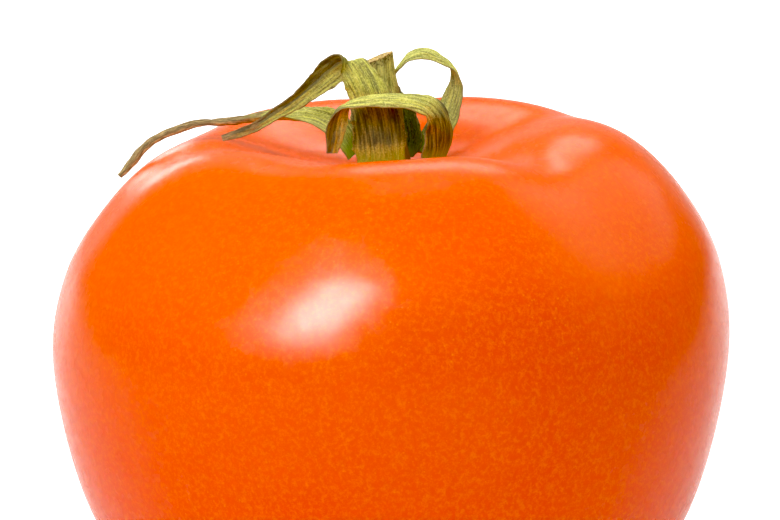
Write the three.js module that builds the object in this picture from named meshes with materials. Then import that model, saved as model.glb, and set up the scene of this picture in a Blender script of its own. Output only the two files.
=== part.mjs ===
// A ripe round tomato with its dried calyx: one fruit, a cut stem and five curling sepals.
// Millimetres. +Z is up, the fruit rests on z = 0, and the front of the fruit faces -Y.
import * as THREE from 'three';

// ---------------------------------------------------------------- driving dimensions

const FRUIT_RADIUS = 37.9;        // half the width at the widest level
const FRUIT_HEIGHT = 62;          // resting spot to the crown of the shoulders
const REST_RADIUS = 9;            // the small flat spot under the fruit
const LEAN = 0.2;                 // how far the shoulders lean towards +X
const SIDE_DROP = 2.1;            // how much lower the -X shoulder is than the others
const SIDE_DROP_SPREAD = 60;      // degrees either side of -X over which it falls away
const BODY_LEVEL = 0.30;          // of the height: below this the fruit is evenly round
const SHOULDER_LEVEL = 0.90;      // of the height: above this lean and drop act in full
const FURROW_LEVEL = 0.95;        // of the height: above this a furrow has its full depth
const HOLLOW = 0.06;              // of the radius: the level middle
const HOLLOW_RIM = 0.38;          // of the radius: where the drop of the -X side is full

const STEM_RADIUS = 1.6;          // at the cut end
const STEM_FLARE = 3.1;           // where it meets the floor of the hollow
const STEM_RIBS = 5;
const RIB_DEPTH = 0.05;           // of the radius
const CUT_SLOPE = 0.42;           // the cut rises this much per millimetre towards +X
const CUT_START = 0.6;            // of the length: where the rings begin to tilt to the cut

const BLADE_THINNING = 0.75;      // how far a blade thins from its midrib to its margins

const FRUIT_AROUND = 72;
const FRUIT_ALONG = 32;
const STEM_AROUND = 20;
const STEM_ALONG = 16;
const SEPAL_ALONG = 30;
const SEPAL_ACROSS = 6;           // divisions across one face of a blade

// Meridian of the fruit: distance from the axis over FRUIT_RADIUS, height over FRUIT_HEIGHT.
const MERIDIAN = [
  [REST_RADIUS / FRUIT_RADIUS, 0],
  [0.500, 0.028],
  [0.734, 0.152],
  [0.914, 0.342],
  [1.000, 0.590],
  [0.968, 0.765],
  [0.853, 0.893],
  [0.706, 0.979],
  [0.545, 1.011],
  [0.385, 0.991],
  [0.242, 0.956],
  [0.115, 0.928],
  [0.000, 0.918],
];

// Valleys over the shoulders: azimuth and half width in degrees, depth in millimetres, the
// level (of the height) where each one dies out on the side, and the distances from the axis
// (of the radius) between which it deepens on its way out of the hollow.
const FURROWS = [
  { azimuth: 318, halfWidth: 20, depth: 2.1, foot: 0.48, from: 0.06, full: 0.38 },
  { azimuth: 278, halfWidth: 18, depth: 0.5, foot: 0.80, from: 0.06, full: 0.38 },
  { azimuth: 242, halfWidth: 24, depth: 1.2, foot: 0.68, from: 0.06, full: 0.38 },
  { azimuth: 192, halfWidth: 9, depth: 0.7, foot: 0.60, from: 0.06, full: 0.38 },
  { azimuth: 157, halfWidth: 16, depth: 1.9, foot: 0.50, from: 0.50, full: 0.85 },
  { azimuth: 88, halfWidth: 15, depth: 0.6, foot: 0.55, from: 0.06, full: 0.38 },
  { azimuth: 27, halfWidth: 15, depth: 0.6, foot: 0.55, from: 0.06, full: 0.38 },
];

// ---------------------------------------------------------------- small mathematics

const SLOPE_STEP = 0.005;         // step in t for measuring the direction of a curve

const radians = (degrees) => degrees * Math.PI / 180;

function smoothstep(from, to, x) {
  const t = Math.min(1, Math.max(0, (x - from) / (to - from)));
  return t * t * (3 - 2 * t);
}

// Smooth curve through rows of numbers (Catmull-Rom); t runs 0..1 over all the rows.
function through(rows, t) {
  const last = rows.length - 1;
  const place = Math.min(Math.max(t, 0), 1) * last;
  const i = Math.min(Math.floor(place), last - 1);
  const u = place - i;
  const a = rows[Math.max(i - 1, 0)];
  const b = rows[i];
  const c = rows[i + 1];
  const d = rows[Math.min(i + 2, last)];
  return b.map((_, k) => {
    const slopeB = (c[k] - a[k]) / 2;
    const slopeC = (d[k] - b[k]) / 2;
    const cubic = 2 * b[k] - 2 * c[k] + slopeB + slopeC;
    const square = -3 * b[k] + 3 * c[k] - 2 * slopeB - slopeC;
    return ((cubic * u + square) * u + slopeB) * u + b[k];
  });
}

function bell(degreesApart, halfWidth) {
  const wrapped = ((degreesApart + 540) % 360) - 180;
  return Math.exp(-((wrapped / halfWidth) ** 2));
}

// A closed body from rings of equal length; each end is closed onto one point.
function closedLoft(rings, startPoint, endPoint) {
  const count = rings[0].length;
  const positions = rings.flat();
  const start = positions.push(startPoint) - 1;
  const end = positions.push(endPoint) - 1;
  const triangles = [];
  for (let i = 0; i < count; i++) {
    const next = (i + 1) % count;
    triangles.push(start, next, i);
    for (let ring = 0; ring + 1 < rings.length; ring++) {
      const low = ring * count;
      const high = low + count;
      triangles.push(low + i, low + next, high + next);
      triangles.push(low + i, high + next, high + i);
    }
    const top = (rings.length - 1) * count;
    triangles.push(end, top + i, top + next);
  }
  const geometry = new THREE.BufferGeometry();
  const flat = positions.flatMap((p) => p.toArray());
  geometry.setAttribute('position', new THREE.Float32BufferAttribute(flat, 3));
  geometry.setIndex(triangles);
  geometry.computeVertexNormals();
  return geometry;
}

function named(name, geometry, colour, roughness) {
  const material = new THREE.MeshStandardMaterial({ color: colour, roughness, metalness: 0 });
  const mesh = new THREE.Mesh(geometry, material);
  mesh.name = name;
  return mesh;
}

// ---------------------------------------------------------------- fruit

function meridian(t) {
  const [rho, z] = through(MERIDIAN, t);
  return new THREE.Vector2(rho * FRUIT_RADIUS, z * FRUIT_HEIGHT);
}

function meridianNormal(t) {
  const after = meridian(Math.min(t + SLOPE_STEP, 1));
  const along = after.sub(meridian(Math.max(t - SLOPE_STEP, 0)));
  return new THREE.Vector2(along.y, -along.x).normalize();
}

// Point of the skin: azimuth in degrees, t = 0 at the rim of the resting spot, 1 in the hollow.
function skin(azimuth, t) {
  const base = meridian(t);
  const normal = meridianNormal(t);
  const rho = base.x / FRUIT_RADIUS;
  const level = base.y / FRUIT_HEIGHT;
  let dent = 0;
  for (const { azimuth: middle, halfWidth, depth, foot, from, full } of FURROWS) {
    const strength = smoothstep(foot, FURROW_LEVEL, level) * smoothstep(from, full, rho);
    dent += depth * strength * bell(azimuth - middle, halfWidth);
  }
  const raised = smoothstep(BODY_LEVEL, SHOULDER_LEVEL, level);
  const side = bell(azimuth - 180, SIDE_DROP_SPREAD) * smoothstep(HOLLOW, HOLLOW_RIM, rho);
  const drop = SIDE_DROP * raised * side;
  const reach = base.x - dent * normal.x;
  return new THREE.Vector3(
    reach * Math.cos(radians(azimuth)) + LEAN * raised,
    reach * Math.sin(radians(azimuth)),
    base.y - dent * normal.y - drop,
  );
}

function fruit() {
  const rings = [];
  for (let ring = 0; ring < FRUIT_ALONG; ring++) {
    const circle = [];
    for (let i = 0; i < FRUIT_AROUND; i++) {
      circle.push(skin(360 * i / FRUIT_AROUND, ring / FRUIT_ALONG));
    }
    rings.push(circle);
  }
  return closedLoft(rings, new THREE.Vector3(0, 0, 0), skin(0, 1));
}

// ---------------------------------------------------------------- stem

// Centre line and radius: x, y, z, radius.
const STEM = [
  [-0.6, 0.2, 57.4, STEM_FLARE],
  [-0.7, 0.2, 58.3, 2.9],
  [-0.7, 0.1, 60.6, 2.4],
  [-0.8, 0.0, 63.0, 2.2],
  [-0.9, 0.0, 65.4, 2.0],
  [-1.1, 0.0, 67.6, 1.65],
  [-1.4, 0.0, 69.9, STEM_RADIUS],
];

function stem() {
  const rings = [];
  for (let ring = 0; ring <= STEM_ALONG; ring++) {
    const t = ring / STEM_ALONG;
    const [x, y, z, radius] = through(STEM, t);
    const cut = CUT_SLOPE * smoothstep(CUT_START, 1, t);
    const circle = [];
    for (let i = 0; i < STEM_AROUND; i++) {
      const turn = 2 * Math.PI * i / STEM_AROUND;
      const reach = radius * (1 + RIB_DEPTH * Math.cos(STEM_RIBS * turn));
      const across = reach * Math.cos(turn);
      circle.push(new THREE.Vector3(x + across, y + reach * Math.sin(turn), z + cut * across));
    }
    rings.push(circle);
  }
  const foot = new THREE.Vector3(...STEM[0]);
  const top = new THREE.Vector3(...STEM[STEM.length - 1]);
  return closedLoft(rings, foot, top);
}

// ---------------------------------------------------------------- sepals

// Each station of a blade: centre x y z, direction across the blade x y z, half width,
// thickness, and how far the -side and +side margins curl towards the inner face (degrees).
const SEPALS = {
  // in front: rises against the stem, folds over at the top and falls away to -X
  sepal_front: [
    [-1.0, -3.5, 58.2, 1, 0, 0, 2.6, 0.60, 20, 20],
    [-1.1, -4.1, 60.2, 1, 0, 0, 3.1, 0.55, 30, 30],
    [-1.3, -4.2, 62.2, 1, 0, 0, 3.1, 0.50, 32, 32],
    [-1.7, -4.1, 64.4, 1, 0, 0, 2.8, 0.45, 30, 30],
    [-2.4, -3.9, 66.4, 1, 0, -0.08, 2.4, 0.45, 20, 25],
    [-3.3, -3.7, 68.3, 0.96, 0, -0.26, 2.0, 0.45, 20, 30],
    [-4.7, -3.1, 69.9, 0.9, 0, -0.42, 1.7, 0.45, 35, 30],
    [-6.3, -2.3, 68.9, 0.75, 0, -0.65, 1.75, 0.45, 45, 30],
    [-8.1, -1.8, 67.2, 0.5, -0.1, -0.86, 1.5, 0.45, 75, 45],
    [-10.4, -1.9, 65.4, 0.5, -0.1, -0.86, 1.05, 0.45, 75, 50],
    [-12.9, -2.0, 63.7, 0.5, -0.1, -0.86, 0.72, 0.45, 60, 50],
    [-15.5, -2.1, 62.2, 0.5, -0.1, -0.86, 0.58, 0.45, 45, 40],
    [-18.6, -2.2, 61.2, 0.45, -0.3, -0.85, 0.32, 0.35, 20, 20],
  ],
  // right front: rises, arches forward across the stem towards -X and hangs down
  sepal_right: [
    [5.0, -2.2, 58.5, 0.6, 0.8, 0, 2.4, 0.60, 20, 20],
    [5.6, -2.7, 60.2, 0.6, 0.8, 0, 2.7, 0.55, 25, 25],
    [5.7, -3.2, 62.0, 0.6, 0.8, 0, 2.6, 0.50, 25, 25],
    [5.4, -3.8, 63.8, 0.55, 0.83, 0.1, 2.3, 0.45, 25, 25],
    [4.4, -4.5, 65.2, 0.4, 0.9, 0.25, 2.0, 0.45, 25, 25],
    [2.8, -5.2, 65.9, 0.15, 0.95, 0.3, 1.8, 0.45, 25, 25],
    [0.9, -5.8, 66.2, 0.05, 0.95, 0.3, 1.7, 0.45, 25, 25],
    [-1.3, -6.1, 66.3, 0.05, 0.95, 0.3, 1.6, 0.45, 30, 30],
    [-3.6, -6.3, 66.1, 0.15, 0.95, 0.2, 1.5, 0.45, 35, 35],
    [-5.3, -6.3, 65.2, 0.5, 0.85, -0.1, 1.4, 0.45, 40, 40],
    [-5.9, -6.2, 63.5, 0.8, 0.6, -0.1, 1.4, 0.45, 35, 35],
    [-6.2, -6.1, 61.8, 0.85, 0.5, 0, 1.1, 0.45, 30, 30],
    [-6.4, -6.0, 60.2, 0.9, 0.4, 0, 0.75, 0.40, 15, 15],
  ],
  // right back: a tall open loop that comes back to the stem
  sepal_loop: [
    [4.1, 2.4, 58.6, -0.7, 0.7, 0, 2.3, 0.60, 20, 20],
    [5.2, 3.2, 60.3, -0.7, 0.7, 0, 2.4, 0.50, 25, 25],
    [6.3, 3.9, 62.2, -0.7, 0.7, 0.1, 2.1, 0.45, 25, 25],
    [7.1, 4.5, 64.3, -0.65, 0.75, 0.1, 1.7, 0.45, 25, 25],
    [7.6, 4.8, 66.2, -0.55, 0.83, 0.1, 1.3, 0.45, 25, 25],
    [7.1, 4.8, 68.0, -0.3, 0.9, 0.1, 1.1, 0.45, 20, 20],
    [5.6, 4.5, 69.2, 0, 0.93, 0.35, 1.1, 0.45, 20, 20],
    [3.8, 4.1, 69.9, 0, 0.9, 0.45, 1.15, 0.45, 20, 20],
    [2.1, 3.6, 69.5, 0.2, 0.9, 0.4, 1.1, 0.45, 20, 20],
    [1.0, 3.2, 68.4, 0.3, 0.9, 0.3, 0.9, 0.45, 20, 20],
    [0.2, 2.9, 67.4, 0.4, 0.9, 0.2, 0.4, 0.40, 10, 10],
  ],
  // behind: rises against the stem and bends back onto the far lip of the hollow
  sepal_back: [
    [0.4, 3.5, 58.4, -1, 0, 0, 2.2, 0.60, 20, 20],
    [0.7, 4.1, 60.2, -1, 0, 0, 3.2, 0.50, 30, 30],
    [0.3, 4.5, 62.2, -1, 0, 0, 2.9, 0.45, 35, 35],
    [-0.3, 5.0, 64.2, -1, 0, 0, 2.2, 0.45, 35, 35],
    [-0.8, 6.3, 65.6, -1, 0, 0, 1.7, 0.45, 30, 30],
    [-1.2, 8.3, 65.7, -1, 0, 0, 1.5, 0.45, 30, 30],
    [-1.7, 10.3, 64.7, -1, 0, 0, 1.2, 0.45, 30, 30],
    [-2.1, 12.2, 63.4, -1, 0, 0, 0.9, 0.45, 20, 20],
    [-2.6, 14.2, 62.9, -1, 0, 0, 0.4, 0.40, 10, 10],
  ],
  // left: lies out over the -X shoulder and dries to a thin rolled tail
  sepal_left: [
    [-4.2, -0.9, 59.0, -0.2, -0.9, -0.3, 2.1, 0.60, 20, 20],
    [-5.2, -0.8, 61.0, -0.3, -0.82, -0.4, 2.4, 0.50, 25, 25],
    [-6.6, -0.5, 62.4, -0.3, -0.84, -0.4, 2.4, 0.45, 25, 25],
    [-8.8, 0.0, 63.1, -0.15, -0.93, -0.3, 2.1, 0.45, 30, 30],
    [-11.3, 0.9, 63.1, 0, -0.98, -0.15, 1.7, 0.45, 40, 40],
    [-13.9, 1.6, 62.8, 0, -0.98, -0.15, 1.3, 0.45, 60, 60],
    [-16.6, 2.0, 62.4, 0, -0.98, -0.15, 0.9, 0.60, 70, 70],
    [-19.3, 2.0, 62.3, 0, -0.98, -0.15, 0.6, 0.80, 60, 60],
    [-22.0, 2.0, 62.0, 0, -0.98, -0.15, 0.5, 1.00, 40, 40],
    [-24.6, 2.0, 61.2, 0, -0.98, -0.15, 0.5, 1.05, 30, 30],
    [-26.9, 2.0, 59.9, 0, -0.98, -0.15, 0.5, 1.05, 20, 20],
    [-28.8, 2.0, 57.9, 0, -0.98, -0.15, 0.55, 1.10, 20, 20],
    [-30.3, 2.0, 56.2, 0, -0.98, -0.15, 0.4, 0.70, 10, 10],
  ],
};

// Place and directions of a blade at t (0 at the hollow, 1 at the tip).
function bladeAt(stations, t) {
  const row = through(stations, t);
  const ahead = new THREE.Vector3(...through(stations, Math.min(t + SLOPE_STEP, 1)));
  const behind = new THREE.Vector3(...through(stations, Math.max(t - SLOPE_STEP, 0)));
  const along = ahead.sub(behind).normalize();
  const side = new THREE.Vector3(row[3], row[4], row[5]);
  side.addScaledVector(along, -side.dot(along)).normalize();
  return {
    centre: new THREE.Vector3(row[0], row[1], row[2]),
    side,
    inner: new THREE.Vector3().crossVectors(along, side),
    halfWidth: row[6],
    thickness: row[7],
    curl: [radians(row[8]), radians(row[9])],
  };
}

// Middle surface of a blade: u = -1 at one margin, 0 on the midrib, 1 at the other margin.
// The blade turns evenly from the midrib to each margin, which gives a flat or rolled trough.
function acrossBlade(blade, u) {
  const turn = Math.max(blade.curl[u < 0 ? 0 : 1], 0.001);
  const radius = blade.halfWidth / turn;
  const angle = turn * Math.abs(u);
  const sideways = radius * Math.sin(angle) * Math.sign(u);
  const raised = radius * (1 - Math.cos(angle));
  const point = blade.centre.clone();
  point.addScaledVector(blade.side, sideways).addScaledVector(blade.inner, raised);
  const normal = blade.inner.clone().multiplyScalar(Math.cos(angle));
  normal.addScaledVector(blade.side, -Math.sin(angle) * Math.sign(u));
  return { point, normal };
}

// One ring round a blade: out along the inner face, back along the outer face.
function bladeRing(stations, t) {
  const blade = bladeAt(stations, t);
  const ring = [];
  for (const face of [1, -1]) {
    for (let i = 0; i < SEPAL_ACROSS; i++) {
      const u = face * (1 - 2 * (i + 0.5) / SEPAL_ACROSS);
      const { point, normal } = acrossBlade(blade, u);
      const half = blade.thickness / 2 * Math.sqrt(1 - BLADE_THINNING * u * u);
      ring.push(point.addScaledVector(normal, face * half));
    }
  }
  return ring;
}

function sepal(stations) {
  const rings = [];
  for (let ring = 0; ring <= SEPAL_ALONG; ring++) {
    rings.push(bladeRing(stations, ring / SEPAL_ALONG));
  }
  const foot = new THREE.Vector3(...stations[0]);
  const tip = new THREE.Vector3(...stations[stations.length - 1]);
  return closedLoft(rings, foot, tip);
}

// ---------------------------------------------------------------- the tomato

const SKIN_COLOUR = 0xf04a0a;
const STEM_COLOUR = 0x7f7a2c;
const SEPAL_COLOUR = 0x7d8130;

const tomato = new THREE.Group();
tomato.name = 'tomato';
tomato.add(named('fruit', fruit(), SKIN_COLOUR, 0.3));
tomato.add(named('stem', stem(), STEM_COLOUR, 0.8));
for (const [name, stations] of Object.entries(SEPALS)) {
  tomato.add(named(name, sepal(stations), SEPAL_COLOUR, 0.8));
}

export default tomato;
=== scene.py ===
"""A ripe tomato with its dried calyx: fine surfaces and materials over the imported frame."""
import math

import bpy
import numpy as np
from mathutils import Euler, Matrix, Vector

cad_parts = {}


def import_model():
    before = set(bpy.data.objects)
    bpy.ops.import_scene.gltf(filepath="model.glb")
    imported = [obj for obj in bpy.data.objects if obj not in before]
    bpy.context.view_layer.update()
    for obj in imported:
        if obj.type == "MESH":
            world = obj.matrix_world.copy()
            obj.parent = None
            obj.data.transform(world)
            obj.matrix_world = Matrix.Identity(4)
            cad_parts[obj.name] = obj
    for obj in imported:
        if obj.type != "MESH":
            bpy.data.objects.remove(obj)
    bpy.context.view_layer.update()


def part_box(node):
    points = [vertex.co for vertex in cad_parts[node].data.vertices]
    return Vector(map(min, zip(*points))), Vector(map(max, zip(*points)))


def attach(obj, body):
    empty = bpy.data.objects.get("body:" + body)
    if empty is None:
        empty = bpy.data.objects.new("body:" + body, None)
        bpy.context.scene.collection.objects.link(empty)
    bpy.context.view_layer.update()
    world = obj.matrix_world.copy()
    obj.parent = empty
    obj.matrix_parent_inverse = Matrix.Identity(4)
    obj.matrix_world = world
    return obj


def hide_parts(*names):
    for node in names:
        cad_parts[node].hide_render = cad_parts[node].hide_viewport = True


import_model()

# ---------------------------------------------------------------- driving dimensions

MM = 0.001
FRUIT_LOW, FRUIT_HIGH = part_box("fruit")

CROWN = 1.0095                    # highest shoulder over the nominal height
GIRTH = 0.9977                    # nominal width over the widest measured width
FRUIT_RADIUS = (FRUIT_HIGH[0] - FRUIT_LOW[0]) / 2 * GIRTH
FRUIT_HEIGHT = FRUIT_HIGH[2] / CROWN
REST_RADIUS = 9 * MM
LEAN = 0.2 * MM                   # how far the shoulders lean towards +X
SIDE_DROP = 2.1 * MM              # how much lower the -X shoulder is than the others
SIDE_DROP_SPREAD = 60             # degrees from -X at which it is down to about a third
BODY_LEVEL = 0.30                 # of the height: below this the fruit is evenly round
SHOULDER_LEVEL = 0.90             # of the height: above this lean and drop act in full
FURROW_LEVEL = 0.95               # of the height: above this a furrow has its full depth
HOLLOW = 0.06                     # of the radius: within this nothing drops
HOLLOW_RIM = 0.38                 # of the radius: where the drop of the -X side is full

STEM_RIBS = 5
RIB_DEPTH = 0.05                  # of the radius
FINE_RIBS = 17
FINE_RIB_DEPTH = 0.015            # of the radius
CUT_SLOPE = 0.42                  # the cut rises this much per millimetre towards +X
CUT_START = 0.6                   # of the length: where the rings begin to tilt to the cut
CUT_RINGS = (0.97, 0.85, 0.65, 0.4, 0.2)  # rings of the cut face, as shares of its rim
CUT_DISH = 0.22                   # fall of the cut face from its rim inwards, in millimetres
CUT_MIDDLE = 0.2                  # depth of its middle point, in millimetres
CUT_CRUMBLE = 0.08                # roughness of the cut face, in millimetres

# Blades, in millimetres unless a share is meant.
MARGIN_WOBBLE = 0.07              # of the half width
RIDGE_HEIGHT = 0.055
RIDGE_PACE = 7.5                  # radians per millimetre across the blade
CRINKLE = 0.10
BLADE_THICKNESS = 0.85            # of the CAD's thickness
MARGIN_THINNING = 0.93            # of the squared thickness, lost from midrib to margin

SLOPE_STEP = 0.005                # step in t for measuring the direction of a curve

FRUIT_AROUND = 384
FRUIT_ALONG = 236
STEM_AROUND = 96
STEM_ALONG = 120
SEPAL_ALONG = 260
SEPAL_ACROSS = 36

VIEW_ELEVATION = 11.5             # degrees above the horizon, looking along +Y
VIEW_DISTANCE = 0.4
VIEW_HEIGHT = 0.047
LENS = 164.7                      # millimetres, like the sensor
SENSOR_WIDTH = 36

# ---------------------------------------------------------------- shape tables

# Meridian of the fruit: distance from the axis over its radius, level over its height.
MERIDIAN = [
    [REST_RADIUS / FRUIT_RADIUS, 0],
    [0.500, 0.028],
    [0.734, 0.152],
    [0.914, 0.342],
    [1.000, 0.590],
    [0.968, 0.765],
    [0.853, 0.893],
    [0.706, 0.979],
    [0.545, 1.011],
    [0.385, 0.991],
    [0.242, 0.956],
    [0.115, 0.928],
    [0.000, 0.918],
]

# Valleys over the shoulders: azimuth, half width (degrees), depth (mm), level of the foot,
# and the distances from the axis (of the radius) between which each one deepens. A negative
# depth is a swelling: the last row fills the front left of the hollow and dies out outwards.
FURROWS = [
    (318, 20, 2.1, 0.48, 0.06, 0.38),
    (278, 18, 0.5, 0.80, 0.06, 0.38),
    (242, 24, 1.2, 0.68, 0.06, 0.38),
    (192, 9, 0.45, 0.60, 0.06, 0.38),
    (157, 16, 1.9, 0.50, 0.50, 0.85),
    (88, 15, 0.6, 0.55, 0.06, 0.38),
    (27, 15, 0.6, 0.55, 0.06, 0.38),
    (212, 38, -0.8, 0.50, 0.56, 0.28),
]

# Stem: centre x y z and radius, in millimetres.
STEM = [
    [-0.6, 0.2, 57.4, 3.1],
    [-0.7, 0.2, 58.3, 2.9],
    [-0.7, 0.1, 60.6, 2.4],
    [-0.8, 0.0, 63.0, 2.2],
    [-0.9, 0.0, 65.4, 2.0],
    [-1.1, 0.0, 67.6, 1.65],
    [-1.4, 0.0, 69.9, 1.6],
]

# Sepals, station by station from the hollow to the tip, in millimetres: centre x y z,
# direction across the blade x y z, half width, thickness, and the curl in degrees of the
# -side and +side margins towards the inner face.
SEPALS = {
    "sepal_front": [
        [-1.0, -3.5, 58.2, 1, 0, 0, 2.6, 0.60, 20, 20],
        [-1.1, -4.1, 60.2, 1, 0, 0, 3.1, 0.55, 30, 30],
        [-1.3, -4.2, 62.2, 1, 0, 0, 3.1, 0.50, 32, 32],
        [-1.7, -4.1, 64.4, 1, 0, 0, 2.8, 0.45, 30, 30],
        [-2.4, -3.9, 66.4, 1, 0, -0.08, 2.4, 0.45, 20, 25],
        [-3.3, -3.7, 68.3, 0.96, 0, -0.26, 2.0, 0.45, 20, 30],
        [-4.7, -3.1, 69.9, 0.9, 0, -0.42, 1.7, 0.45, 35, 30],
        [-6.3, -2.3, 68.9, 0.75, 0, -0.65, 1.75, 0.45, 45, 30],
        [-8.1, -1.8, 67.2, 0.5, -0.1, -0.86, 1.5, 0.45, 75, 45],
        [-10.4, -1.9, 65.4, 0.5, -0.1, -0.86, 1.05, 0.45, 75, 50],
        [-12.9, -2.0, 63.7, 0.5, -0.1, -0.86, 0.72, 0.45, 60, 50],
        [-15.5, -2.1, 62.2, 0.5, -0.1, -0.86, 0.58, 0.45, 45, 40],
        [-18.6, -2.2, 61.2, 0.45, -0.3, -0.85, 0.32, 0.35, 20, 20],
    ],
    "sepal_right": [
        [5.0, -2.2, 58.5, 0.6, 0.8, 0, 2.4, 0.60, 20, 20],
        [5.6, -2.7, 60.2, 0.6, 0.8, 0, 2.7, 0.55, 25, 25],
        [5.7, -3.2, 62.0, 0.6, 0.8, 0, 2.6, 0.50, 25, 25],
        [5.4, -3.8, 63.8, 0.55, 0.83, 0.1, 2.3, 0.45, 25, 25],
        [4.4, -4.5, 65.2, 0.4, 0.9, 0.25, 2.0, 0.45, 25, 25],
        [2.8, -5.2, 65.9, 0.15, 0.95, 0.3, 1.8, 0.45, 25, 25],
        [0.9, -5.8, 66.2, 0.05, 0.95, 0.3, 1.7, 0.45, 25, 25],
        [-1.3, -6.1, 66.3, 0.05, 0.95, 0.3, 1.6, 0.45, 30, 30],
        [-3.6, -6.3, 66.1, 0.15, 0.95, 0.2, 1.5, 0.45, 35, 35],
        [-5.3, -6.3, 65.2, 0.5, 0.85, -0.1, 1.4, 0.45, 40, 40],
        [-5.9, -6.2, 63.5, 0.8, 0.6, -0.1, 1.4, 0.45, 35, 35],
        [-6.2, -6.1, 61.8, 0.85, 0.5, 0, 1.1, 0.45, 30, 30],
        [-6.4, -6.0, 60.2, 0.9, 0.4, 0, 0.75, 0.40, 15, 15],
    ],
    "sepal_loop": [
        [4.1, 2.4, 58.6, -0.7, 0.7, 0, 2.3, 0.60, 20, 20],
        [5.2, 3.2, 60.3, -0.7, 0.7, 0, 2.4, 0.50, 25, 25],
        [6.3, 3.9, 62.2, -0.7, 0.7, 0.1, 2.1, 0.45, 25, 25],
        [7.1, 4.5, 64.3, -0.65, 0.75, 0.1, 1.7, 0.45, 25, 25],
        [7.6, 4.8, 66.2, -0.55, 0.83, 0.1, 1.3, 0.45, 25, 25],
        [7.1, 4.8, 68.0, -0.3, 0.9, 0.1, 1.1, 0.45, 20, 20],
        [5.6, 4.5, 69.2, 0, 0.93, 0.35, 1.1, 0.45, 20, 20],
        [3.8, 4.1, 69.9, 0, 0.9, 0.45, 1.15, 0.45, 20, 20],
        [2.1, 3.6, 69.5, 0.2, 0.9, 0.4, 1.1, 0.45, 20, 20],
        [1.0, 3.2, 68.4, 0.3, 0.9, 0.3, 0.9, 0.45, 20, 20],
        [0.2, 2.9, 67.4, 0.4, 0.9, 0.2, 0.4, 0.40, 10, 10],
    ],
    "sepal_back": [
        [0.4, 3.5, 58.4, -1, 0, 0, 2.2, 0.60, 20, 20],
        [0.7, 4.1, 60.2, -1, 0, 0, 3.2, 0.50, 30, 30],
        [0.3, 4.5, 62.2, -1, 0, 0, 2.9, 0.45, 35, 35],
        [-0.3, 5.0, 64.2, -1, 0, 0, 2.2, 0.45, 35, 35],
        [-0.8, 6.3, 65.6, -1, 0, 0, 1.7, 0.45, 30, 30],
        [-1.2, 8.3, 65.7, -1, 0, 0, 1.5, 0.45, 30, 30],
        [-1.7, 10.3, 64.7, -1, 0, 0, 1.2, 0.45, 30, 30],
        [-2.1, 12.2, 63.4, -1, 0, 0, 0.9, 0.45, 20, 20],
        [-2.6, 14.2, 62.9, -1, 0, 0, 0.4, 0.40, 10, 10],
    ],
    "sepal_left": [
        [-4.2, -0.9, 59.0, -0.2, -0.9, -0.3, 2.1, 0.60, 20, 20],
        [-5.2, -0.8, 61.0, -0.3, -0.82, -0.4, 2.4, 0.50, 25, 25],
        [-6.6, -0.5, 62.4, -0.3, -0.84, -0.4, 2.4, 0.45, 25, 25],
        [-8.8, 0.0, 63.1, -0.15, -0.93, -0.3, 2.1, 0.45, 30, 30],
        [-11.3, 0.9, 63.1, 0, -0.98, -0.15, 1.7, 0.45, 40, 40],
        [-13.9, 1.6, 62.8, 0, -0.98, -0.15, 1.3, 0.45, 60, 60],
        [-16.6, 2.0, 62.4, 0, -0.98, -0.15, 0.9, 0.60, 70, 70],
        [-19.3, 2.0, 62.3, 0, -0.98, -0.15, 0.6, 0.80, 60, 60],
        [-22.0, 2.0, 62.0, 0, -0.98, -0.15, 0.5, 1.00, 40, 40],
        [-24.6, 2.0, 61.2, 0, -0.98, -0.15, 0.5, 1.05, 30, 30],
        [-26.9, 2.0, 59.9, 0, -0.98, -0.15, 0.5, 1.05, 20, 20],
        [-28.8, 2.0, 57.9, 0, -0.98, -0.15, 0.55, 1.10, 20, 20],
        [-30.3, 2.0, 56.2, 0, -0.98, -0.15, 0.4, 0.70, 10, 10],
    ],
}

# ---------------------------------------------------------------- small mathematics


def smoothstep(start, end, x):
    t = np.clip((x - start) / (end - start), 0, 1)
    return t * t * (3 - 2 * t)


def through(rows, t):
    """Smooth curve through rows of numbers (Catmull-Rom); t runs 0..1 over all the rows."""
    rows = np.asarray(rows, float)
    last = len(rows) - 1
    place = np.clip(np.atleast_1d(t), 0, 1) * last
    i = np.minimum(place.astype(int), last - 1)
    u = (place - i)[:, None]
    b, c = rows[i], rows[i + 1]
    slope_b = (c - rows[np.maximum(i - 1, 0)]) / 2
    slope_c = (rows[np.minimum(i + 2, last)] - b) / 2
    cubic = 2 * b - 2 * c + slope_b + slope_c
    square = -3 * b + 3 * c - 2 * slope_b - slope_c
    return ((cubic * u + square) * u + slope_b) * u + b


def bell(degrees_apart, half_width):
    """1 in the middle, down to about a third at half_width degrees to either side."""
    wrapped = (degrees_apart + 540) % 360 - 180
    return np.exp(-((wrapped / half_width) ** 2))


def unit(vectors):
    return vectors / np.linalg.norm(vectors, axis=-1, keepdims=True)


def ripple(x, seed, waves=5, slowest=1.0):
    """A smooth random wave of x, about -1 to 1, the same on every run."""
    random = np.random.default_rng(seed)
    total = np.zeros_like(np.asarray(x, float))
    for wave in range(waves):
        pace = slowest * (1 + wave) * random.uniform(0.8, 1.3)
        total = total + np.sin(x * pace + random.uniform(0, 2 * math.pi)) / (1 + wave)
    return total / 1.8


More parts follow.
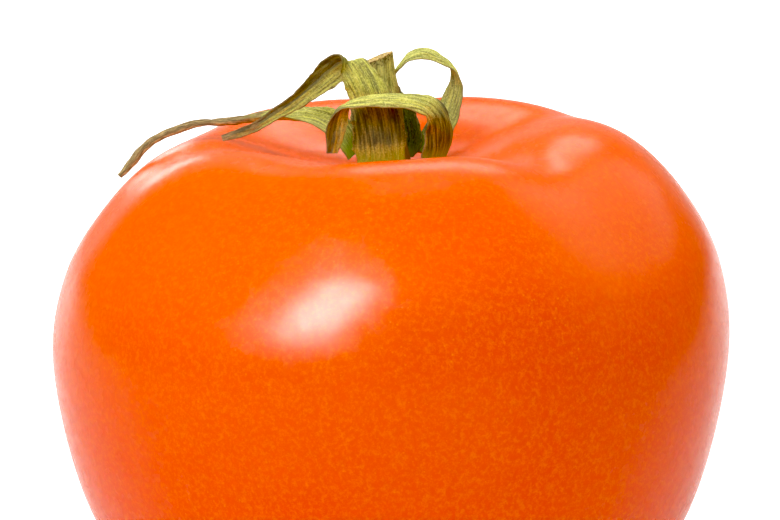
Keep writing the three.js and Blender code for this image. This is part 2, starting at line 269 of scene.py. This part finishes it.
def ring_mesh(name, rings, start, end, **attributes):
    """A closed body from an array of rings (ring, place, xyz), closed onto two end points.

    Each attribute is an array (ring, place) and becomes a number on every vertex.
    """
    count, size = rings.shape[:2]
    vertices = np.concatenate([rings.reshape(-1, 3), [start], [end]])
    first, last = count * size, count * size + 1
    faces = []
    for ring in range(count - 1):
        low = ring * size
        for i in range(size):
            following = (i + 1) % size
            faces.append((low + i, low + following, low + size + following, low + size + i))
    top = (count - 1) * size
    for i in range(size):
        following = (i + 1) % size
        faces.append((first, following, i))
        faces.append((last, top + i, top + following))
    mesh = bpy.data.meshes.new(name)
    mesh.from_pydata(vertices.tolist(), [], faces)
    mesh.polygons.foreach_set("use_smooth", [True] * len(faces))
    for key, values in attributes.items():
        layer = mesh.attributes.new(key, "FLOAT", "POINT")
        flat = np.concatenate([values.reshape(-1), [values[0].mean()], [values[-1].mean()]])
        layer.data.foreach_set("value", flat.astype(np.float32))
    return mesh


def place(name, mesh, material, node, slot):
    """Puts a finished mesh in the scene in place of its CAD node."""
    piece = bpy.data.objects.new(name, mesh)
    bpy.context.scene.collection.objects.link(piece)
    mesh.materials.append(material)
    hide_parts(node)
    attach(piece, "root")
    return piece


# ---------------------------------------------------------------- node helper


class Shading:
    """A material under construction. Every method adds a node and returns its output."""

    def __init__(self, name):
        self.material = bpy.data.materials.new(name)
        self.material.use_nodes = True
        self.tree = self.material.node_tree
        self.shader = self.tree.nodes["Principled BSDF"]

    def feed(self, socket, source):
        if isinstance(source, bpy.types.NodeSocket):
            self.tree.links.new(source, socket)
        elif source is not None:
            socket.default_value = source

    def add(self, kind, inputs, output=0, **settings):
        node = self.tree.nodes.new(kind)
        for key, value in settings.items():
            setattr(node, key, value)
        for key, source in inputs.items():
            self.feed(node.inputs[key], source)
        return node.outputs[output]

    def attribute(self, name):
        return self.add("ShaderNodeAttribute", {}, "Fac", attribute_name=name)

    def position(self, stretch=(1000, 1000, 1000)):
        """Place on the object in millimetres, stretched where a pattern runs one way."""
        place_in_metres = self.add("ShaderNodeTexCoord", {}, "Object")
        return self.add("ShaderNodeMapping", {"Vector": place_in_metres, "Scale": stretch})

    def vector(self, x, y, z=0.0):
        return self.add("ShaderNodeCombineXYZ", {"X": x, "Y": y, "Z": z})

    def noise(self, vector, scale, detail=2.0, roughness=0.5):
        inputs = {"Vector": vector, "Scale": scale, "Detail": detail, "Roughness": roughness}
        return self.add("ShaderNodeTexNoise", inputs, "Fac")

    def cells(self, vector, scale, output="Distance", **settings):
        inputs = {"Vector": vector, "Scale": scale}
        return self.add("ShaderNodeTexVoronoi", inputs, output, **settings)

    def math(self, operation, a, b=None, clamp=False):
        inputs = {0: a} if b is None else {0: a, 1: b}
        return self.add("ShaderNodeMath", inputs, operation=operation, use_clamp=clamp)

    def span(self, value, start, end, low=0.0, high=1.0):
        """Maps start..end to low..high smoothly, and stays there outside."""
        inputs = {
            "Value": value,
            "From Min": start,
            "From Max": end,
            "To Min": low,
            "To Max": high,
        }
        return self.add("ShaderNodeMapRange", inputs, interpolation_type="SMOOTHSTEP")

    def mix(self, factor, a, b, blend="MIX"):
        def colour(source):
            return (*source, 1) if isinstance(source, tuple) else source

        inputs = {0: factor, 6: colour(a), 7: colour(b)}
        return self.add("ShaderNodeMix", inputs, 2, data_type="RGBA", blend_type=blend)

    def bump(self, height, distance, strength=1.0, normal=None):
        inputs = {"Height": height, "Distance": distance, "Strength": strength}
        if normal is not None:
            inputs["Normal"] = normal
        return self.add("ShaderNodeBump", inputs)

    def finish(self, colour, roughness, normal, **fixed):
        self.feed(self.shader.inputs["Base Color"], colour)
        self.feed(self.shader.inputs["Roughness"], roughness)
        self.feed(self.shader.inputs["Normal"], normal)
        for key, value in fixed.items():
            self.shader.inputs[key.replace("_", " ")].default_value = value
        return self.material


# ---------------------------------------------------------------- materials

# In each material, span() turns the part of a pattern between two values into a share.
SKIN_IOR = 1.27                   # a thin wax, with weak reflections
DRY_SPECULAR = 0.35


def skin_material():
    """Waxy orange-red skin: broad drifts of hue, a fine mottle and pale specks."""
    ripe, half_ripe = (0.80, 0.056, 0.0), (0.87, 0.096, 0.0)
    low_red = (0.84, 0.046, 0.0)
    mottled = (0.93, 0.17, 0.0)
    pale_speck = (0.97, 0.26, 0.03)
    s = Shading("tomato_skin")
    where = s.position()
    level = s.attribute("level")
    side = s.add("ShaderNodeSeparateXYZ", {0: where}, "X")

    drift = s.span(s.noise(where, 0.045, 2.0), 0.35, 0.7, 0.0, 0.4)
    orange = s.math("ADD", drift, s.span(side, 15.0, -25.0, 0.0, 0.35))
    orange = s.math("ADD", orange, s.span(level, 0.55, 0.95, 0.0, 0.6), clamp=True)
    colour = s.mix(orange, ripe, half_ripe)
    colour = s.mix(s.span(level, 0.75, 0.35, 0.0, 0.6), colour, low_red)

    mottle = s.span(s.noise(where, 2.2, 5.0, 0.8), 0.44, 0.66, 0.0, 0.8)
    colour = s.mix(mottle, colour, mottled)

    crowd = s.span(s.noise(where, 0.15, 2.0), 0.3, 0.7, 0.08, 0.26)
    speck = s.span(s.cells(where, 1.3), 0.0, crowd, 1.0, 0.0)
    colour = s.mix(s.math("MULTIPLY", speck, 0.7), colour, pale_speck)

    roughness = s.span(s.noise(where, 0.6, 3.0), 0.3, 0.7, 0.23, 0.29)
    normal = s.bump(s.noise(where, 2.2, 3.0, 0.6), 0.03 * MM, 0.3)
    normal = s.bump(s.noise(where, 0.25, 2.0), 0.3 * MM, 0.15, normal)
    return s.finish(colour, roughness, normal, IOR=SKIN_IOR)


def blade_texture(s):
    """The patterns of a dried blade, laid out along and across it in millimetres."""
    length = s.attribute("length_mm")
    width = s.attribute("width_mm")
    inner = s.attribute("inner")

    def sheet(stretch_along, stretch_across):
        x = s.math("MULTIPLY", length, stretch_along)
        y = s.math("MULTIPLY", width, stretch_across)
        return s.vector(x, y, s.math("MULTIPLY", inner, 7.0))

    veins = s.noise(sheet(0.25, 3.2), 1.0, 4.0, 0.65)
    fibres = s.noise(sheet(0.9, 8.0), 1.0, 3.0, 0.65)
    patches = s.noise(sheet(0.45, 0.7), 1.0, 3.0, 0.6)
    fuzz = s.noise(sheet(4.5, 5.5), 1.0, 3.0, 0.75)
    net = s.cells(sheet(1.7, 3.2), 1.0, feature="DISTANCE_TO_EDGE")
    netting = s.math("MULTIPLY", s.span(net, 0.14, 0.02), inner, clamp=True)
    return veins, fibres, patches, fuzz, netting


def blade_material(name, leaf_colour, brown_share, brown_and_shade_band, shaded_half_start, tip_start):
    """Dried sepal: long veins, pale margins, a band of brown and painted shade, a foot in yellow-green
    and painted light, one half in painted shade past a given point, and a brown tip.
    """
    dark = tuple(c * 0.28 for c in leaf_colour)
    pale = (
        min(0.95, leaf_colour[0] * 1.6 + 0.06),
        min(0.90, leaf_colour[1] * 1.55 + 0.05),
        leaf_colour[2] * 2.2 + 0.04,
    )
    brown, straw = (0.080, 0.048, 0.022), (0.46, 0.34, 0.13)
    # The olive brown of the band below is partly painted shade; the yellow-green of the foot is partly
    # painted light.
    shade_olive_brown, lit_foot_green = (0.055, 0.058, 0.020), (0.36, 0.54, 0.030)
    shaded_brown = (0.060, 0.044, 0.020)
    dry_brown, dry_tan = (0.15, 0.085, 0.035), (0.56, 0.37, 0.16)

    s = Shading(name)
    along = s.attribute("along")
    across = s.attribute("across")
    veins, fibres, patches, fuzz, netting = blade_texture(s)

    colour = s.mix(s.span(veins, 0.36, 0.62), dark, leaf_colour)
    colour = s.mix(s.span(fibres, 0.48, 0.72, 0.0, 0.6), colour, pale)
    wither_start = 0.62 - 0.30 * brown_share
    wither_end = 0.80 - 0.25 * brown_share
    colour = s.mix(s.span(patches, wither_start, wither_end, 0.0, 0.85), colour, brown)
    colour = s.mix(s.span(fuzz, 0.53, 0.66, 0.0, 0.7), colour, pale)
    colour = s.mix(s.span(fuzz, 0.47, 0.36, 0.0, 0.75), colour, dark)

    # Painted shade: the band turns the rising part of each blade olive brown, partly its own browning,
    # partly the shade under the arching part above.
    start, end = brown_and_shade_band
    shade_band = s.math("MULTIPLY", s.span(along, start, start + 0.07), s.span(along, end, end - 0.08))
    shade_band = s.math("MULTIPLY", shade_band, s.span(veins, 0.35, 0.65, 0.95, 0.55))
    colour = s.mix(shade_band, colour, shade_olive_brown)
    # The foot turns yellow-green: partly its own fresher colour, partly painted light on the lit base
    # below the shaded band.
    foot = s.math("MULTIPLY", s.span(along, 0.11, 0.03), s.span(fibres, 0.3, 0.7, 0.9, 0.5))
    colour = s.mix(foot, colour, lit_foot_green)
    # Painted shade: past the given start, the half of the blade on the negative across side darkens.
    # This is partly its brown outer face where the margin rolls over, and partly the shade inside the
    # trough.
    roll = s.math("MULTIPLY", s.span(along, shaded_half_start, shaded_half_start + 0.06), s.span(across, 0.10, -0.15))
    roll = s.math("MULTIPLY", roll, s.span(patches, 0.3, 0.6, 0.95, 0.6))
    colour = s.mix(roll, colour, shaded_brown)

    colour = s.mix(s.math("MULTIPLY", netting, 0.12), colour, straw)
    ragged = s.span(fuzz, 0.35, 0.65, -0.07, 0.07)
    margin = s.span(s.math("ADD", s.math("ABSOLUTE", across), ragged), 0.90, 1.0)
    colour = s.mix(s.math("MULTIPLY", margin, 0.7), colour, straw)
    uneven = s.math("ADD", along, s.span(patches, 0.3, 0.7, -0.06, 0.06))
    tip = s.span(uneven, tip_start, tip_start + 0.14)
    dry = s.mix(s.span(fibres, 0.38, 0.62), dry_brown, dry_tan)
    colour = s.mix(s.math("MULTIPLY", tip, 0.9), colour, dry)

    relief = s.math("ADD", veins, s.math("MULTIPLY", fibres, 0.6))
    relief = s.math("ADD", relief, s.math("MULTIPLY", fuzz, 0.45))
    relief = s.math("SUBTRACT", relief, s.math("MULTIPLY", netting, 0.3))
    normal = s.bump(relief, 0.22 * MM, 0.9)
    roughness = s.span(fibres, 0.3, 0.7, 0.6, 0.8)
    return s.finish(colour, roughness, normal, Specular_IOR_Level=DRY_SPECULAR)


def stem_material():
    """Green ribbed stalk going brown on its +X side, with a dark collar and a dry tan cut."""
    dark_green, light_green = (0.26, 0.25, 0.050), (0.78, 0.75, 0.170)
    hair, pit = (0.72, 0.66, 0.30), (0.07, 0.055, 0.012)
    brown, collar_brown = (0.20, 0.09, 0.020), (0.06, 0.03, 0.008)
    dry_brown, dry_tan = (0.16, 0.075, 0.015), (0.72, 0.50, 0.15)
    lengthwise = (1500, 1500, 220)

    s = Shading("tomato_stem")
    streaks = s.noise(s.position(lengthwise), 1.4, 3.0, 0.6)
    fuzz = s.noise(s.position(), 4.5, 3.0, 0.75)
    crumbs = s.noise(s.position(), 3.2, 3.0, 0.7)
    side = s.add("ShaderNodeSeparateXYZ", {0: s.position()}, "X")
    along = s.attribute("along")
    cut = s.attribute("cut")

    colour = s.mix(s.span(streaks, 0.35, 0.62), dark_green, light_green)
    colour = s.mix(s.span(fuzz, 0.54, 0.68, 0.0, 0.6), colour, hair)
    colour = s.mix(s.span(fuzz, 0.46, 0.34, 0.0, 0.6), colour, pit)
    colour = s.mix(s.span(side, 0.2, 1.2, 0.0, 0.8), colour, brown)
    collar = s.math("MULTIPLY", s.span(along, 0.90, 0.95), s.span(fuzz, 0.35, 0.6, 0.95, 0.4))
    colour = s.mix(collar, colour, collar_brown)
    dry = s.mix(s.span(crumbs, 0.36, 0.58), dry_brown, dry_tan)
    colour = s.mix(cut, colour, dry)

    relief = s.math("ADD", streaks, s.math("MULTIPLY", crumbs, cut))
    relief = s.math("ADD", relief, s.math("MULTIPLY", fuzz, 0.5))
    normal = s.bump(relief, 0.2 * MM, 0.9)
    roughness = s.span(streaks, 0.3, 0.7, 0.6, 0.8)
    return s.finish(colour, roughness, normal, Specular_IOR_Level=DRY_SPECULAR)


# ---------------------------------------------------------------- fruit


def fruit_mesh():
    """The skin: the meridian turned about the axis, dented by the furrows."""
    scale = np.array([FRUIT_RADIUS, FRUIT_HEIGHT])
    t = np.linspace(0, 1, FRUIT_ALONG, endpoint=False)
    base = through(MERIDIAN, t) * scale
    slope = (through(MERIDIAN, t + SLOPE_STEP) - through(MERIDIAN, t - SLOPE_STEP)) * scale
    normal = unit(np.stack([slope[:, 1], -slope[:, 0]], axis=1))
    azimuth = np.linspace(0, 360, FRUIT_AROUND, endpoint=False)[None, :]
    rho, z = base[:, :1], base[:, 1:]

    dent = np.zeros((FRUIT_ALONG, FRUIT_AROUND))
    for middle, half_width, depth, foot, start, full in FURROWS:
        strength = smoothstep(foot, FURROW_LEVEL, z / FRUIT_HEIGHT)
        strength = strength * smoothstep(start, full, rho / FRUIT_RADIUS)
        dent += depth * MM * strength * bell(azimuth - middle, half_width)
    raised = smoothstep(BODY_LEVEL, SHOULDER_LEVEL, z / FRUIT_HEIGHT)
    side = bell(azimuth - 180, SIDE_DROP_SPREAD) * smoothstep(HOLLOW, HOLLOW_RIM, rho / FRUIT_RADIUS)
    drop = SIDE_DROP * raised * side
    turn = np.radians(azimuth)
    reach = rho - dent * normal[:, :1]
    rings = np.stack(
        [
            reach * np.cos(turn) + LEAN * raised,
            reach * np.sin(turn),
            z - dent * normal[:, 1:] - drop,
        ],
        axis=-1,
    )
    centre = rings[-1].mean(axis=0)
    centre[2] = MERIDIAN[-1][1] * FRUIT_HEIGHT
    level = np.broadcast_to(z / FRUIT_HEIGHT, dent.shape)
    return ring_mesh("fruit_skin", rings, (0, 0, 0), centre, level=level)


# ---------------------------------------------------------------- stem


def stem_mesh():
    """The stub: ribbed rings that tilt towards the cut, and a dished, crumbly cut face."""
    t = np.linspace(0, 1, STEM_ALONG)
    rows = through(STEM, t)
    turn = np.linspace(0, 2 * math.pi, STEM_AROUND, endpoint=False)[None, :]
    ribs = 1 + RIB_DEPTH * np.cos(STEM_RIBS * turn) + FINE_RIB_DEPTH * np.cos(FINE_RIBS * turn + 1)
    reach = rows[:, 3:4] * ribs
    cut = CUT_SLOPE * smoothstep(CUT_START, 1, t)[:, None]
    across = reach * np.cos(turn)
    sides = np.stack(
        [
            rows[:, 0:1] + across,
            rows[:, 1:2] + reach * np.sin(turn),
            rows[:, 2:3] + cut * across,
        ],
        axis=-1,
    )
    top = np.array(STEM[-1][:3])
    caps = [sides]
    for share in CUT_RINGS:
        ring = top + (sides[-1:] - top) * share
        ring[..., 2] -= (CUT_DISH - CUT_CRUMBLE * ripple(turn * 3, 5)) * (1 - share)
        caps.append(ring)
    rings = np.concatenate(caps)
    cut_share = np.zeros(rings.shape[:2])
    cut_share[STEM_ALONG - 2:] = 1
    foot = np.array(STEM[0][:3])
    end = top - [0, 0, CUT_MIDDLE]
    along = np.minimum(1, np.arange(len(rings)) / STEM_ALONG)[:, None]
    along = np.broadcast_to(along, cut_share.shape)
    return ring_mesh("stem_stub", rings * MM, foot * MM, end * MM, cut=cut_share, along=along)


# ---------------------------------------------------------------- sepals


def blade_frame(stations, t):
    """Rows of a blade at t, with the unit vectors across it and towards its inner face."""
    rows = through(stations, t)
    ahead = through(stations, t + SLOPE_STEP)[:, :3]
    direction = unit(ahead - through(stations, t - SLOPE_STEP)[:, :3])
    side = rows[:, 3:6] - direction * (rows[:, 3:6] * direction).sum(axis=1, keepdims=True)
    side = unit(side)
    return rows, side, np.cross(direction, side)


def blade_mesh(name, stations, seed):
    """Lofts one sepal: corrugated along its veins, thin and uneven at its margins."""
    t = np.linspace(0, 1, SEPAL_ALONG)
    rows, side, inner = blade_frame(stations, t)
    steps = np.linalg.norm(np.diff(rows[:, :3], axis=0), axis=1)
    length = np.concatenate([[0], np.cumsum(steps)])

    # u runs from one margin (1) to the other (-1) on the inner face, and back on the outer.
    u = 1 - 2 * (np.arange(SEPAL_ACROSS) + 0.5) / SEPAL_ACROSS
    u = np.concatenate([u, u[::-1]])[None, :]
    face = np.repeat([1.0, -1.0], SEPAL_ACROSS)[None, :]

    # The blade turns evenly from the midrib to each margin.
    wobble = 1 + MARGIN_WOBBLE * ripple(length[:, None] * 1.3 + 9 * (u > 0), seed, 6)
    half_width = rows[:, 6:7] * wobble
    curl = np.radians(np.where(u < 0, rows[:, 8:9], rows[:, 9:10]))
    angle = curl * np.abs(u)
    radius = half_width / curl
    sideways = radius * np.sin(angle) * np.sign(u)
    raised = radius * (1 - np.cos(angle))
    normal = inner[:, None] * np.cos(angle)[..., None]
    normal = normal - side[:, None] * (np.sin(angle) * np.sign(u))[..., None]

    # Ridges follow the veins, a crinkle bends the whole blade, and it thins to its margins.
    width = half_width * u
    wander = 0.6 * ripple(length[:, None], seed + 1)
    ridges = RIDGE_HEIGHT * np.cos(width * RIDGE_PACE + wander) * (1 - u ** 4)
    crinkle = CRINKLE * ripple(length[:, None] * 0.8 + width * 0.9, seed + 2, 4)
    thickness = rows[:, 7:8] * (BLADE_THICKNESS * np.sqrt(1 - MARGIN_THINNING * u ** 2)) / 2
    lift = ridges + crinkle * smoothstep(0, 0.2, t)[:, None] + face * thickness
    rings = rows[:, None, :3] + side[:, None] * sideways[..., None]
    rings = rings + inner[:, None] * raised[..., None] + normal * lift[..., None]

    shape = rings.shape[:2]
    return ring_mesh(
        name,
        rings * MM,
        rows[0, :3] * MM,
        rows[-1, :3] * MM,
        along=np.broadcast_to(t[:, None], shape),
        across=np.broadcast_to(u, shape),
        inner=np.broadcast_to((face + 1) / 2, shape),
        length_mm=np.broadcast_to(length[:, None], shape),
        width_mm=width,
    )


# ---------------------------------------------------------------- studio

# Softboxes: name, azimuth and elevation (degrees), distance, width, height, roll, power,
# and what each one does: light the matt surface, make a reflection, or both.
LIGHTS = [
    ("key", 240.0, 38.0, 0.6, 0.20, 0.34, -4, 11.0, "gloss"),
    ("key_tail", 222.0, 27.0, 0.6, 0.20, 0.14, 0, 0.45, "gloss"),
    ("front_left_high", 225, 50, 0.8, 0.3, 0.3, 0, 2.15, "matt"),
    ("front_left_low", 225, 18, 0.8, 0.5, 0.5, 0, 0.8, "matt"),
    ("front_right_high", 295, 40, 0.8, 0.5, 0.5, 0, 2.1, "matt"),
    ("top", 90, 75, 0.8, 0.28, 0.28, 0, 3.2, "matt"),
    ("back_high", 60, 50, 0.8, 0.7, 0.5, 0, 1.5, "matt"),
    ("right_back", 32, 38, 0.8, 0.5, 0.5, 0, 1.1, "gloss"),
    ("right_high", 15, 40, 0.8, 0.5, 0.5, 0, 0.5, "matt"),
    ("left", 180, 28, 0.8, 0.5, 0.5, 0, 1.3, "matt"),
    ("backdrop", 90, 14, 1.2, 1.5, 0.5, 0, 5.0, "matt"),
    ("back_low", 107, 12.5, 1.2, 0.30, 0.20, 0, 0.85, "gloss"),
    ("back_wide", 90, 8, 1.2, 1.5, 0.3, 0, 0.45, "gloss"),
    ("back_rim", 84, 40, 0.8, 0.35, 0.2, 0, 0.85, "gloss"),
]
FLOOR_HALF = 4.0
FLOOR_WHITE = 0.7
FLOOR_REACH = (0.12, 0.5)         # two distances from the fruit, in metres
FLOOR_NEAR = 0.5                  # the floor's own glow within the nearer one
FLOOR_FAR = 0.9                   # and beyond the farther one
FLOOR_SIDES = 0.1                 # share of the glow at the sides and in front
WORLD_GLOW = 0.19
BLACK_LEVEL = (0.014, 0.014, 0.028)


def floor():
    """A pale floor whose soft glow behind the fruit makes the white ground of the view."""
    mesh = bpy.data.meshes.new("floor")
    signs = [(-1, -1), (1, -1), (1, 1), (-1, 1)]
    corners = [(x * FLOOR_HALF, y * FLOOR_HALF, 0) for x, y in signs]
    mesh.from_pydata(corners, [], [(0, 1, 2, 3)])
    s = Shading("floor_pale")
    s.feed(s.shader.inputs["Base Color"], (FLOOR_WHITE, FLOOR_WHITE, FLOOR_WHITE, 1))
    s.feed(s.shader.inputs["Roughness"], 0.9)
    s.feed(s.shader.inputs["Emission Color"], (1, 1, 1, 1))
    where = s.position((1, 1, 1))
    away = s.add("ShaderNodeVectorMath", {0: where}, "Value", operation="LENGTH")
    behind = s.math("DIVIDE", s.add("ShaderNodeSeparateXYZ", {0: where}, "Y"), away)
    glow = s.span(away, *FLOOR_REACH, FLOOR_NEAR, FLOOR_FAR)
    glow = s.math("MULTIPLY", glow, s.span(behind, 0.5, 0.8, FLOOR_SIDES, 1.0))
    s.feed(s.shader.inputs["Emission Strength"], glow)
    mesh.materials.append(s.material)
    piece = bpy.data.objects.new("floor", mesh)
    bpy.context.scene.collection.objects.link(piece)


def softbox(name, azimuth, elevation, distance, width, height, roll, power, effect):
    """An area light aimed at the fruit; azimuth in degrees from +X, seen from above."""
    light = bpy.data.lights.new(name, "AREA")
    light.shape = "RECTANGLE"
    light.size = width
    light.size_y = height
    light.energy = power
    lamp = bpy.data.objects.new(name, light)
    bpy.context.scene.collection.objects.link(lamp)
    level = math.radians(elevation)
    turn = math.radians(azimuth)
    toward = Vector((
        math.cos(level) * math.cos(turn),
        math.cos(level) * math.sin(turn),
        math.sin(level),
    ))
    lamp.location = Vector((0, 0, VIEW_HEIGHT)) + toward * distance
    aim = toward.to_track_quat("Z", "Y").to_matrix()
    lamp.rotation_euler = (aim @ Euler((0, 0, math.radians(roll))).to_matrix()).to_euler()
    lamp.visible_camera = False
    lamp.visible_diffuse = effect != "gloss"
    lamp.visible_glossy = effect != "matt"


def world():
    """Even white light from all around."""
    setting = bpy.data.worlds.new("studio")
    setting.use_nodes = True
    bpy.context.scene.world = setting
    background = setting.node_tree.nodes["Background"]
    background.inputs["Color"].default_value = (1, 1, 1, 1)
    background.inputs["Strength"].default_value = WORLD_GLOW


def tone():
    """Plain display colours, with the faint veil of stray light taken off."""
    settings = bpy.context.scene.view_settings
    settings.view_transform = "Standard"
    settings.use_curve_mapping = True
    settings.curve_mapping.black_level = BLACK_LEVEL
    settings.curve_mapping.update()


def camera():
    """Looks along +Y and a little down, at the upper part of the fruit."""
    data = bpy.data.cameras.new("camera")
    data.lens = LENS
    data.sensor_width = SENSOR_WIDTH
    data.clip_start = 0.01
    view = bpy.data.objects.new("camera", data)
    bpy.context.scene.collection.objects.link(view)
    level = math.radians(VIEW_ELEVATION)
    view.location = (0, -VIEW_DISTANCE * math.cos(level), VIEW_HEIGHT + VIEW_DISTANCE * math.sin(level))
    view.rotation_euler = (math.pi / 2 - level, 0, 0)
    bpy.context.scene.camera = view


# ---------------------------------------------------------------- the scene

place("fruit_skin", fruit_mesh(), skin_material(), "fruit", "skin")
place("stem_stub", stem_mesh(), stem_material(), "stem", "stem")

# Leaf colour, share gone brown, start and end of the band of brown and painted shade, where one half
# turns to painted shade and where the dry tip starts; the last three in shares of the length.
FOOT = -0.10                      # a band from here is full at the foot already
NOWHERE = 2.0                     # past the tip
LOOKS = {
    "sepal_front": ((0.66, 0.64, 0.090), 0.20, (0.07, 0.34), 0.46, 0.86),
    "sepal_right": ((0.76, 0.73, 0.120), 0.15, (FOOT, 0.33), 0.72, 0.98),
    "sepal_loop": ((0.70, 0.69, 0.130), 0.15, (FOOT, 0.20), NOWHERE, 0.93),
    # sepal_back's dark leaf colour is partly its own deep green, mostly painted shade on its inner
    # face.
    "sepal_back": ((0.12, 0.16, 0.070), 0.10, (FOOT, 0.0), NOWHERE, 0.85),
    "sepal_left": ((0.74, 0.71, 0.120), 0.10, (FOOT, 0.10), NOWHERE, 0.36),
}
FIRST_SEED = 40
for seed, (node, stations) in enumerate(SEPALS.items(), FIRST_SEED):
    look = blade_material(node + "_leaf", *LOOKS[node])
    place(node + "_blade", blade_mesh(node + "_blade", stations, seed), look, node, "sepal")

floor()
world()
camera()
for light in LIGHTS:
    softbox(*light)
tone()
